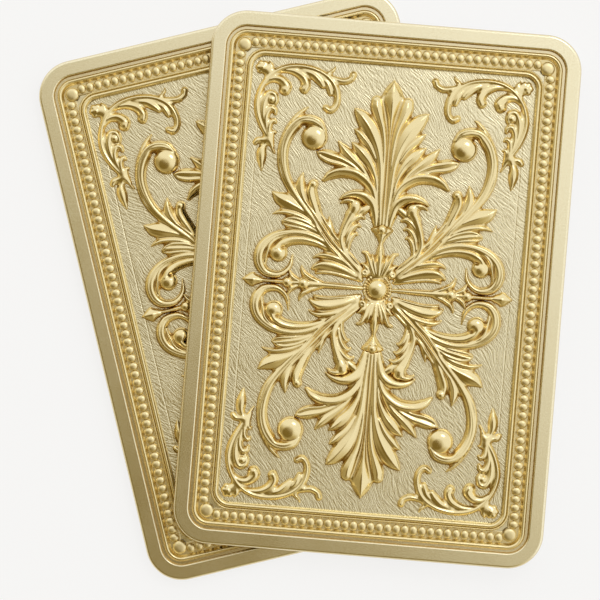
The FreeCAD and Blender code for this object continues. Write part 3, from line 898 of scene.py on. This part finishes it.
# %% C-scroll and spurs
lay_strokes(scroll, (
    (STEM, .2, [
        (5.0, 3.9, .3, .6), (7.4, 5.7, .45, .8), (9.8, 7.25, .58, .9), (12.6, 8.15, .66, 1.0),
        (15.3, 8.15, .76, 1.05), (17.6, 7.4, .88, 1.1), (19.3, 6.0, .98, 1.2), (20.0, 4.3, 1.02, 1.25),
        (19.75, 2.6, .98, 1.2), (18.7, 1.4, .82, 1.1), (17.0, 1.1, .64, 1.0), (15.7, 1.65, .54, .9),
        (14.8, 2.8, .42, .75), (14.45, 4.9, .05, .4)]),
    (ROD, 0, [
        (15.8, 7.6, .2, .8), (17.4, 6.95, .4, 1.0), (18.35, 5.95, .48, 1.1), (18.7, 4.7, .48, 1.1),
        (18.95, 3.5, .34, .95), (18.9, 2.4, .05, .6)]),
    (LOBE, .25, [
        (8.4, 5.9, .45, .6), (10.7, 6.8, .65, .85), (13.0, 7.15, .8, 1.0), (15.0, 6.95, .92, 1.15),
        (16.3, 6.3, .98, 1.3), (17.1, 5.3, 1.0, 1.35)]),
    (LOBE, .3, [
        (4.6, 3.3, .45, .6), (7.0, 4.4, .7, .9), (9.2, 4.85, .62, .95), (10.4, 4.7, .35, .85),
        (11.0, 4.35, .15, .7)]),
    (LOBE, .35, [
        (2.8, 1.3, .4, .4), (5.0, 2.25, .9, .85), (7.4, 2.95, 1.2, 1.05), (9.2, 3.15, 1.1, 1.15),
        (10.3, 2.95, .75, 1.1), (10.9, 2.6, .4, .9)]),
    (ROD, 0, [
        (3.4, 1.3, .3, .5), (5.4, 1.75, .38, .8), (7.6, 2.1, .38, .9), (9.3, 2.15, .42, .95),
        (10.3, 1.95, .3, .8)]),
))
lay_ball(scroll, 16.9, 4.75, 1.55, 1.4)
press(scroll, 16.2, 5.65, .34, .5)

# %% Curled leaf
lay_strokes(scroll, (
    (BAND, 0, [(4.2, 12.3, .6, .8), (3.3, 13.0, .8, .85), (2.6, 13.5, .7, .8)]),
    (BAND, -.25, [
        (3.0, 2.6, .35, .6), (4.7, 4.3, .5, .8), (6.05, 6.1, .6, .95), (6.6, 7.8, .65, 1.05),
        (6.35, 9.4, .7, 1.1), (5.85, 10.8, .8, 1.18), (5.2, 12.2, 1.0, 1.28)]),
    (LOBE, 0, [
        (6.1, 8.6, .45, .85), (5.6, 10.2, .6, 1.05), (4.7, 11.4, .66, 1.1), (3.75, 11.9, .5, 1.0),
        (3.1, 11.6, .28, .75)]),
    (LOBE, 0, [
        (5.9, 7.0, .4, .78), (5.55, 8.7, .55, 1.0), (4.9, 9.9, .6, 1.02), (4.2, 10.4, .45, .9),
        (3.7, 10.2, .26, .7)]),
    (LOBE, 0, [
        (5.5, 5.6, .35, .7), (5.4, 7.2, .48, .9), (5.0, 8.3, .5, .92), (4.45, 8.9, .38, .82),
        (4.05, 8.75, .2, .65)]),
    (CURL, 0, [(5.5, 11.9, .95, 1.2), (4.9, 13.1, 1.35, 1.4), (4.8, 13.7, 1.3, 1.4)]),
    (LOBE, 0, [(4.6, 14.1, .7, 1.2), (5.7, 14.35, .68, 1.32), (6.6, 14.25, .5, 1.2), (7.2, 13.8, .15, .9)]),
))
press(scroll, 6.2, 13.1, .4, .9)

# %% Palmette
lobes = bare()
lay_strokes(lobes, (
    (LEAF, 0, [
        (.45, 12, .2, .6), (.55, 19, .3, .85), (.75, 23.5, .5, 1.0), (1.2, 26.4, .7, 1.15),
        (1.9, 28.5, .95, 1.3), (2.45, 30.1, 1.15, 1.35), (2.6, 31.2, 1.0, 1.2)]),
    (LEAF, 0, [
        (.45, 10.6, .35, .75), (.85, 16.5, .5, .95), (1.15, 20.5, .75, 1.1), (1.9, 23.5, 1.15, 1.25),
        (3.2, 26.2, 1.55, 1.4), (4.6, 28.1, 1.3, 1.35), (5.6, 29.15, .75, 1.15), (6.2, 29.7, .1, .9)]),
    (LEAF, 0, [
        (2.0, 21.5, .4, .9), (3.2, 23.6, .75, 1.15), (4.5, 25.1, .85, 1.2), (5.4, 25.9, .5, 1.05),
        (5.95, 26.3, .1, .8)]),
    (LEAF, 0, [
        (1.2, 14.2, .35, .7), (1.7, 18.0, .48, .95), (2.8, 20.6, .85, 1.15), (4.2, 22.3, 1.12, 1.3),
        (5.4, 23.4, .72, 1.15), (6.2, 24.05, .1, .8)]),
    (LEAF, 0, [
        (2.4, 17.4, .4, .8), (4.2, 19.8, .7, 1.0), (6.1, 21.5, .98, 1.15), (7.5, 22.9, .75, 1.1),
        (8.5, 24.1, .1, .75)]),
    (SPOON, -.3, [
        (2.0, 16.2, .4, .75), (4.6, 19.2, .6, .95), (7.2, 20.65, .95, 1.1), (9.5, 21.25, 1.22, 1.2),
        (11.0, 21.7, .92, 1.15), (11.95, 22.1, .1, .8)]),
    (ARCH, .4, [
        (.8, 10.6, .4, .7), (1.6, 14.4, .6, .85), (2.7, 17.0, .85, 1.05), (5.0, 18.7, 1.0, 1.2),
        (7.5, 18.95, 1.0, 1.2), (9.2, 18.35, .85, 1.1), (10.35, 17.4, .35, .8)]),
    (ARCH, .25, [
        (1.2, 10.5, .4, .7), (1.5, 12.2, .75, .9), (2.1, 14.0, 1.0, 1.1), (3.2, 15.05, 1.1, 1.3),
        (4.6, 15.4, .95, 1.35), (5.8, 15.25, .75, 1.25), (6.8, 14.85, .45, 1.05), (7.45, 14.4, .1, .8)]),
))
palmette = np.maximum(lobes, lobes[::-1])
lay_strokes(palmette, (
    (KEEL, 0, [
        (0, 21, .25, .8), (0, 25.5, .4, 1.0), (0, 28.2, .85, 1.2), (0, 30.2, 1.55, 1.4),
        (0, 31.7, 1.95, 1.45), (0, 33.2, 1.45, 1.35), (0, 34.2, .75, 1.15), (0, 34.95, .05, .8)]),
    (ROD, 0, [
        (0, 10.8, .42, .9), (0, 14, .38, .95), (0, 18, .34, 1.0), (0, 22, .26, 1.0), (0, 28, .1, 1.0)]),
))

# %% Calyx and knots of the centre boss
petals = bare()
lay_strokes(petals, (
    (LOBE, -.2, [
        (.7, 2.4, .4, .8), (1.25, 3.7, .7, 1.0), (1.75, 4.9, .6, 1.1), (2.25, 5.8, .42, 1.1),
        (2.85, 6.0, .26, .9)]),
    (LOBE, 0, [(.4, 2.4, .3, .8), (.85, 4.0, .45, 1.0), (1.1, 5.0, .34, 1.05), (1.3, 5.7, .12, .85)]),
    (LOBE, 0, [(1.3, 2.5, .35, .6), (1.95, 3.3, .55, .9), (2.5, 3.9, .4, .85), (3.0, 4.1, .15, .7)]),
))
lay_ball(petals, 2.25, 2.55, .78, .95)
press(petals, 2.35, 2.6, .24, .22)
boss = np.maximum(petals, petals[::-1])
lay_strokes(boss, (
    (CALYX, 0, [(0, 2.2, 1.0, .72), (0, 3.5, 1.6, .82), (0, 4.4, 1.3, .85), (0, 5.0, .4, .8)]),
    (LOBE, 0, [
        (0, 2.4, .4, .85), (0, 3.8, .55, 1.1), (0, 5.2, .85, 1.25), (0, 6.3, .72, 1.2), (0, 7.3, .4, 1.05),
        (0, 8.0, .3, .9)]),
    (KNOT, 0, [
        (0, 7.6, .4, .8), (0, 8.3, .75, .95), (0, 9.1, 1.3, 1.1), (0, 9.8, 1.85, 1.15),
        (0, 10.15, 1.8, 1.1), (0, 10.5, .8, 1.0), (0, 10.8, .4, .9)]),
))
lay_ball(boss, 0, 9.9, .9, 1.45)
boss = np.maximum(boss, boss[:, ::-1])

# %% Ball of the centre boss, with its ring of grains
BALL = 1.84
BALL_HEIGHT = 1.48
GRAIN_RING = 2.2
GRAINS = 26
GRAIN_RADIUS = 0.3
GRAIN_HEIGHT = 0.55
BALL_GROOVE = 0.3
BALL_GROOVE_OFF = 0.05
BALL_GROOVE_WIDTH = 0.14


def ring(count, radius):
    """Places spread evenly on a circle round the origin."""
    turn = np.arange(count) * 2 * math.pi / count
    return np.stack([np.cos(turn), np.sin(turn)], 1) * radius


for grain in ring(GRAINS, GRAIN_RING):
    lay_ball(boss, *grain, GRAIN_RADIUS, GRAIN_HEIGHT)
lay_ball(boss, 0, 0, BALL, BALL_HEIGHT)
beside = np.hypot(xs[:, None], ys[None]) - BALL - BALL_GROOVE_OFF
boss -= BALL_GROOVE * np.exp(-(beside / BALL_GROOVE_WIDTH) ** 2)
print("boss rises", boss.max().round(2))

# %% Finial
barbs = bare()
lay_strokes(barbs, (
    (ROD, .2, [
        (8.6, .1, .35, .6), (10.8, .7, .6, .9), (12.2, 1.5, .58, 1.0), (12.75, 2.4, .3, .8),
        (12.85, 3.0, .05, .6)]),
    (ROD, 0, [(13.0, .3, .45, .8), (14.2, .9, .58, 1.0), (14.75, 1.8, .28, .8), (14.9, 2.4, .05, .6)]),
))
finial = np.maximum(barbs, barbs[:, ::-1])
lay_strokes(finial, (
    (STEM, 0, [(2.4, 0, .35, .45), (5, 0, .48, .85), (9.5, 0, .62, .95), (11.5, 0, .75, 1.05)]),
    (ROD, 0, [(12.3, 0, .7, .95), (13.65, 0, .5, .9), (15.0, 0, .7, .95)]),
    (ROD, 0, [(15.2, 0, .55, .85), (17.5, 0, .4, .85), (19, 0, .4, .85)]),
    (LEAF, 0, [(18.6, 0, .2, .6), (20.2, 0, .95, 1.0), (21.0, 0, 1.25, 1.05), (22.6, 0, .05, .6)]),
))
lay_ball(finial, 12.3, 0, 1.0, 1.25)
lay_ball(finial, 15.0, 0, .95, 1.2)

# %% Corner spray
SPRAY_SHARE = 0.85
FLOWER = np.array([22.0, 35.3])
spray = bare()
lay_strokes(spray, (
    (ROD, 0, [
        (18.9, 21.2, .2, .4), (20.2, 23.6, .45, .65), (21.6, 26.0, .52, .8), (22.35, 28.2, .55, .85),
        (22.4, 30.2, .55, .85), (21.7, 32.4, .55, .85), (20.3, 34.3, .55, .85), (18.4, 35.5, .52, .85),
        (16.2, 35.95, .5, .85), (14.0, 35.8, .5, .85), (12.1, 35.2, .5, .8), (10.6, 34.2, .55, .85),
        (9.6, 32.8, .62, .9), (9.2, 31.1, .62, .9), (9.4, 29.8, .6, .9), (10.2, 29.0, .6, .9),
        (11.0, 29.4, .6, .9)]),
    (ROD, 0, [
        (11.4, 35.1, .2, .4), (10.0, 34.4, .45, .65), (8.4, 34.0, .62, .75), (7.2, 34.5, .58, .75),
        (6.85, 35.25, .62, .8)]),
    (ROD, 0, [(11.5, 34.9, .25, .4), (10.3, 35.7, .3, .5), (9.9, 36.5, .05, .3)]),
    (LOBE, -.2, [
        (19.4, 35.0, .35, .6), (17.0, 35.0, .6, .8), (15.3, 34.2, .8, .95), (14.6, 33.0, .85, 1.05),
        (14.85, 32.2, .85, 1.05)]),
    (LOBE, -.2, [
        (21.6, 32.4, .35, .6), (20.3, 33.4, .6, .8), (18.9, 33.4, .85, .95), (17.95, 32.5, 1.05, 1.1),
        (18.05, 31.9, 1.05, 1.15)]),
    (LOBE, 0, [
        (20.2, 24.3, .35, .6), (21.2, 27.0, .6, .8), (21.3, 29.4, .72, .9), (20.6, 31.0, .66, .95),
        (19.7, 30.95, .58, .95), (19.35, 30.1, .52, .9), (19.45, 29.5, .42, .8)]),
    (LOBE, 0, [
        (19.8, 23.4, .3, .55), (20.6, 25.6, .52, .75), (20.75, 27.4, .62, .85), (20.15, 28.6, .58, .9),
        (19.45, 28.4, .48, .85), (19.3, 27.8, .36, .75)]),
    (LOBE, 0, [
        (19.5, 22.8, .3, .5), (20.05, 24.5, .48, .7), (20.05, 25.9, .52, .8), (19.5, 26.6, .44, .8),
        (19.1, 26.3, .3, .7)]),
    (LOBE, 0, [
        (19.2, 22.2, .25, .45), (19.5, 23.6, .38, .6), (19.35, 24.7, .35, .65), (18.95, 24.6, .2, .55)]),
    (LEAF, 0, [(15.4, 35.3, .35, .6), (13.6, 34.8, .75, .9), (12.5, 33.9, .8, 1.0), (11.8, 33.0, .52, .9)]),
    (LOBE, 0, [(12.4, 34.6, .35, .6), (11.1, 33.5, .6, .85), (10.65, 32.6, .62, .9), (10.4, 31.8, .5, .8)]),
    (LEAF, 0, [
        (21.5, 33.2, .3, .5), (20.85, 34.5, .52, .7), (20.6, 35.6, .48, .65), (21.0, 36.5, .05, .4)]),
    (ROD, 0, [(19.7, 22.8, .25, .3), (20.9, 23.3, .4, .45), (21.8, 23.2, .52, .5), (22.2, 22.7, .5, .45)]),
    (LOBE, 0, [
        (20.5, 22.8, .35, .3), (21.0, 21.6, .8, .42), (21.0, 20.2, .85, .42), (20.9, 19.0, .5, .36),
        (20.75, 18.0, .05, .25)]),
))
lay_ball(spray, 20.05, 30.1, .75, 1.0)
for petal in FLOWER + ring(6, .66):
    lay_ball(spray, *petal, .56, .62)
lay_ball(spray, *FLOWER, .46, .85)
spray *= SPRAY_SHARE

# %% [markdown]
# ## From relief to castings
# Each casting is the part of the grid where its own relief rises out of the field, closed underneath a
# little below the field so that it sits in it. The hollows are found on all the castings together: a place
# that lies below the blurred relief around it is a hollow, where the gold is painted amber as shade.

# %% Blurring, mirroring and finishing a relief
WEB_REACH = 0.32
WEB_HEIGHT = 0.6
WEB_COVER = 0.6
WEB_FLOOR = -0.3
SOFTEN = 0.08


def blurred(height, reach):
    """Gaussian blur of a grid, along one axis and then the other."""
    for axis, line in ((0, xs), (1, ys)):
        spread = np.exp(-0.5 * ((line[:, None] - line) / reach) ** 2)
        spread /= spread.sum(1)[:, None]
        height = np.moveaxis(np.tensordot(spread, height, (1, axis)), 0, axis)
    return height


def flipped(relief, across, along):
    """Mirror image of a relief, left for right, top for bottom, or both."""
    image = relief[::-1] if across else relief
    return image[:, ::-1] if along else image


def finished(relief):
    """Fill gaps between leaves with a low web, where most of the ground nearby is covered, and soften all."""
    cover = blurred((relief > 0).astype(float), WEB_REACH)
    web = (cover - WEB_COVER) / (1 - WEB_COVER) * WEB_HEIGHT
    return blurred(np.maximum(np.maximum(relief, web), WEB_FLOOR), SOFTEN)


# %% All castings and their hollows
NARROW_HOLLOW = dict(reach=0.16, full=0.09, share=0.7)
WIDE_HOLLOW = dict(reach=0.5, full=0.6, share=0.4)
boss, palmette, finial, scroll, spray = (finished(part) for part in (boss, palmette, finial, scroll, spray))
castings = {"centre_boss": boss,
            "upper_palmette": palmette,
            "lower_palmette": flipped(palmette, False, True),
            "right_finial": finial,
            "left_finial": flipped(finial, True, False)}
for left in (False, True):
    for low in (False, True):
        quarter = ("lower_" if low else "upper_") + ("left" if left else "right")
        castings[quarter + "_scroll"] = flipped(scroll, left, low)
        castings[quarter + "_corner_spray"] = flipped(spray, left, low)
whole = np.maximum(np.max(list(castings.values()), 0), 0)


def hollowness(height, reach, full, share):
    """How far a height lies below its blurred self: 0 on crests, and the share given in a full hollow."""
    return share * np.maximum((blurred(height, reach) - height) / full, 0)


# The hollowness map says where the gold is painted amber as shade.
hollow_map = np.clip(hollowness(whole, **NARROW_HOLLOW) + hollowness(whole, **WIDE_HOLLOW), 0, 1)
print("highest relief", whole.max().round(2), "hollow share", (hollow_map > 0.5).mean().round(3))

# %% Casting meshes
SINK = 0.08
SEAT = 0.2
RISEN = 0.005


def casting_mesh(relief):
    """Points, quads and hollows of one casting: its skin, a flat seat below it and walls round both.

    A grid square belongs to the skin where its highest corner has risen. A wall stands on each side of such
    a square whose neighbour hasn't.
    """
    low = np.maximum(relief, -SINK)
    first, second = np.maximum(low[:-1, :-1], low[1:, :-1]), np.maximum(low[:-1, 1:], low[1:, 1:])
    risen = np.maximum(first, second) > RISEN
    i, j = np.nonzero(risen)
    columns = len(ys)
    a, b = i * columns + j, (i + 1) * columns + j
    skin = np.stack([a, b, b + 1, a + 1], 1)
    padded = np.pad(risen, 1)
    walls = []
    for di, dj, start, end in ((-1, 0, 3, 0), (1, 0, 1, 2), (0, -1, 0, 1), (0, 1, 2, 3)):
        rim = ~padded[i + 1 + di, j + 1 + dj]
        walls.append(skin[rim][:, [start, end]])
    used, index = np.unique(skin, return_inverse=True)
    count = len(used)
    number = np.zeros(len(xs) * columns, int)
    number[used] = np.arange(count)
    skin, walls = index.reshape(-1, 4), number[np.concatenate(walls)]
    x, y = xs[used // columns], ys[used % columns]
    top = np.column_stack([x, y, field_top + low.ravel()[used]])
    seat = np.column_stack([x, y, np.full(count, field_top - SEAT)])
    quads = np.concatenate([skin, skin[:, ::-1] + count, np.column_stack([walls[:, ::-1], walls + count])])
    return np.concatenate([top, seat]), quads, np.tile(hollow_map.ravel()[used], 2)


for piece, relief in castings.items():
    points, quads, hollow = casting_mesh(relief)
    add_piece(piece, points, quads, ornament_gold, hollow)

# %% [markdown]
# ## The chased field
# Under the castings lies the field: a plate with rounded corners, drawn as rows that are as long as the
# outline allows. The graver's strokes are too shallow to change its outline, so they are left to its finish.
# It takes its hollows from the same relief as the castings, so that a painted warm shade follows every leaf.

# %% Field panel
FIELD_GRID = 0.4
FIELD_CORNER = 1.95


def field_rows():
    """Grid of the field: each row at height y spans the rounded outline there."""
    y = np.linspace(-field_half[1], field_half[1], int(2 * field_half[1] / FIELD_GRID) + 1)
    past = np.clip(np.abs(y) - (field_half[1] - FIELD_CORNER), 0, FIELD_CORNER)
    reach = field_half[0] - FIELD_CORNER + np.sqrt(FIELD_CORNER ** 2 - past ** 2)
    share = np.linspace(-1, 1, int(2 * field_half[0] / FIELD_GRID) + 1)
    return reach[:, None] * share, np.broadcast_to(y[:, None], (len(y), len(share)))


def sampled(grid, x, y):
    """Values of the relief grid at the nearest grid points."""
    i = np.clip(np.rint((x - xs[0]) / GRID).astype(int), 0, len(xs) - 1)
    j = np.clip(np.rint((y - ys[0]) / GRID).astype(int), 0, len(ys) - 1)
    return grid[i, j]


gx, gy = field_rows()
rows, columns = gx.shape
skin = np.stack([gx, gy, np.full(gx.shape, field_top)], 2).reshape(-1, 3)
quads = lattice(rows, columns, False, False)
number = np.arange(rows * columns).reshape(rows, columns)
rim = np.concatenate([number[0], number[1:, -1], number[-1, -2::-1], number[-2:0:-1, 0]])
base = skin[rim] * (1, 1, 0) + (0, 0, base_top)
foot = len(skin) + np.arange(len(rim))
walls = np.column_stack([rim, np.roll(rim, -1), np.roll(foot, -1), foot])
points = np.concatenate([skin, base])
hollow = np.concatenate([sampled(hollow_map, gx, gy).ravel(), np.zeros(len(rim))])
add_piece("field_panel", points, np.concatenate([quads, walls])[:, ::-1], field_gold, hollow,
          caps=[foot[::-1]], smooth=False)

# %% [markdown]
# ## Studio
# The pair lies on a plain pale floor under a softbox up and to the right, and the camera looks straight
# down. The picture's right and up are named here, turned against the back card's own axes. The floor shows
# its own white to the eye and to reflections, keeps the shadow, and is clear from below, so that the
# printed faces can be seen.

# %% Directions of the picture, and the floor
PICTURE_TURN = math.radians(13.4)
FLOOR_HALF = 2.0
FLOOR_DROP = 0.05 * MM
FLOOR_GLOW = 0.82
FLOOR_WHITE = (0.92, 0.92, 0.92, 1)
FLOOR_ROUGHNESS = 0.9
GLOW_WHITE = (0.98, 0.98, 0.98, 1)
right = np.array([math.cos(PICTURE_TURN), -math.sin(PICTURE_TURN)])
up = np.array([math.sin(PICTURE_TURN), math.cos(PICTURE_TURN)])

floor_mesh = bpy.data.meshes.new("floor")
floor_mesh.from_pydata([(*corner, -FLOOR_DROP) for corner in QUARTERS * FLOOR_HALF], [], [(0, 1, 2, 3)])
floor = bpy.data.objects.new("floor", floor_mesh)
bpy.context.scene.collection.objects.link(floor)
floor_paint, shader, start = new_material("floor_paint")
shader.inputs["Base Color"].default_value = FLOOR_WHITE
shader.inputs["Roughness"].default_value = FLOOR_ROUGHNESS
rays = ("Is Camera Ray", "Is Glossy Ray", "Is Transmission Ray")
seen = sum(start.node("ShaderNodeLightPath", None, ray) for ray in rays)
lit = Sum(start.tree, shader.outputs[0])
glow = start.node("ShaderNodeEmission", None, Color=GLOW_WHITE)
paper = start.node("ShaderNodeMixShader", None, _0=(seen * FLOOR_GLOW).clip(), _1=lit, _2=glow)
from_below = start.node("ShaderNodeNewGeometry", None, "Backfacing")
no_paint = start.node("ShaderNodeBsdfTransparent")
surface = start.node("ShaderNodeMixShader", None, _0=from_below, _1=paper, _2=no_paint)
put(start.tree, start.tree.nodes["Material Output"].inputs["Surface"], surface)
floor_mesh.materials.append(floor_paint)
print("floor", 2 * FLOOR_HALF, "m wide")

# %% [markdown]
# ## Room, light and camera
# Polished gold shows the room that it lies in, so the room is a formula of the direction: a pale tent that
# grows warm and dim away from the key light, with one dim patch just off the zenith. The flat rim, seen
# from a camera near to it, takes its slow shading from the edge of that patch.

# %% The room's light by direction
KEY_SIDE = (*(0.6 * right + 0.8 * up), 0)
DIM_PATCH = (*(-0.30 * right - 0.33 * up), 0)
PATCH_EDGE = (0.365, 0.53)
KEY_EDGE = (-0.55, 0.14)
FAR_EDGE = (0.75, 1.0)
FAR_SHARE = 0.6
LEAST_LIGHT = 0.28
DIM = (0.2, 0.14, 0.036, 1)
WARM = (0.57, 0.48, 0.27, 1)
BRIGHT = (0.97, 0.955, 0.92, 1)
BACKDROP = (0.92, 0.92, 0.92, 1)

world = bpy.data.worlds.new("studio")
bpy.context.scene.world = world
world.use_nodes = True
start = Sum(world.node_tree, None)
direction = start.node("ShaderNodeTexCoord")
towards_key = vector_math(start, "DOT_PRODUCT", direction, KEY_SIDE, output=1)
flat = vector_math(start, "MULTIPLY", direction, (1, 1, 0))
from_patch = vector_math(start, "DISTANCE", flat, DIM_PATCH, output=1)
key_light = towards_key.step(*KEY_EDGE).math("MAXIMUM", from_patch.step(*FAR_EDGE) * FAR_SHARE)
tent = from_patch.step(*PATCH_EDGE) * (LEAST_LIGHT + key_light * (1 - LEAST_LIGHT))
low_room = mix_colours(start, (tent * 2).clip(), DIM, WARM)
room = mix_colours(start, (tent * 2 - 1).clip(), low_room, BRIGHT)
camera_ray = start.node("ShaderNodeLightPath", None, "Is Camera Ray")
shown = mix_colours(start, camera_ray, room, BACKDROP)
put(start.tree, start.tree.nodes["Background"].inputs["Color"], shown)
print("room", len(start.tree.nodes), "nodes")

# %% Softbox and camera
CAMERA_FOOT = np.array([3.82, -3.37]) * MM
CAMERA_HEIGHT = 0.4348
CAMERA_NEAR = 0.01
FIELD_OF_VIEW = math.radians(13.2)
KEY_ACROSS, KEY_UPWARD, KEY_HEIGHT = 0.16, 0.22, 0.4
KEY_WIDTH = 0.12
KEY_RADIANCE = 3.2

# A square lamp's power is radiance x pi x area. It is aimed at the cards.
light = bpy.data.lights.new("key_softbox", "AREA")
light.shape = "RECTANGLE"
light.size = light.size_y = KEY_WIDTH
light.energy = KEY_RADIANCE * math.pi * KEY_WIDTH ** 2
lamp = bpy.data.objects.new("key_softbox", light)
lamp.location = (*(CAMERA_FOOT + right * KEY_ACROSS + up * KEY_UPWARD), KEY_HEIGHT)
aim = Vector((*CAMERA_FOOT, 0)) - lamp.location
lamp.rotation_euler = aim.to_track_quat("-Z", "Y").to_euler()
lamp.visible_camera = False
bpy.context.scene.collection.objects.link(lamp)

camera = bpy.data.objects.new("camera", bpy.data.cameras.new("camera"))
camera.data.angle = FIELD_OF_VIEW
camera.data.clip_start = CAMERA_NEAR
camera.location = (*CAMERA_FOOT, CAMERA_HEIGHT)
camera.rotation_euler = (0, 0, -PICTURE_TURN)
bpy.context.scene.collection.objects.link(camera)
bpy.context.scene.camera = camera
bpy.context.scene.view_settings.view_transform = "Standard"
print("camera", round(CAMERA_HEIGHT, 3), "m up, lamp", round(aim.length, 3), "m away")
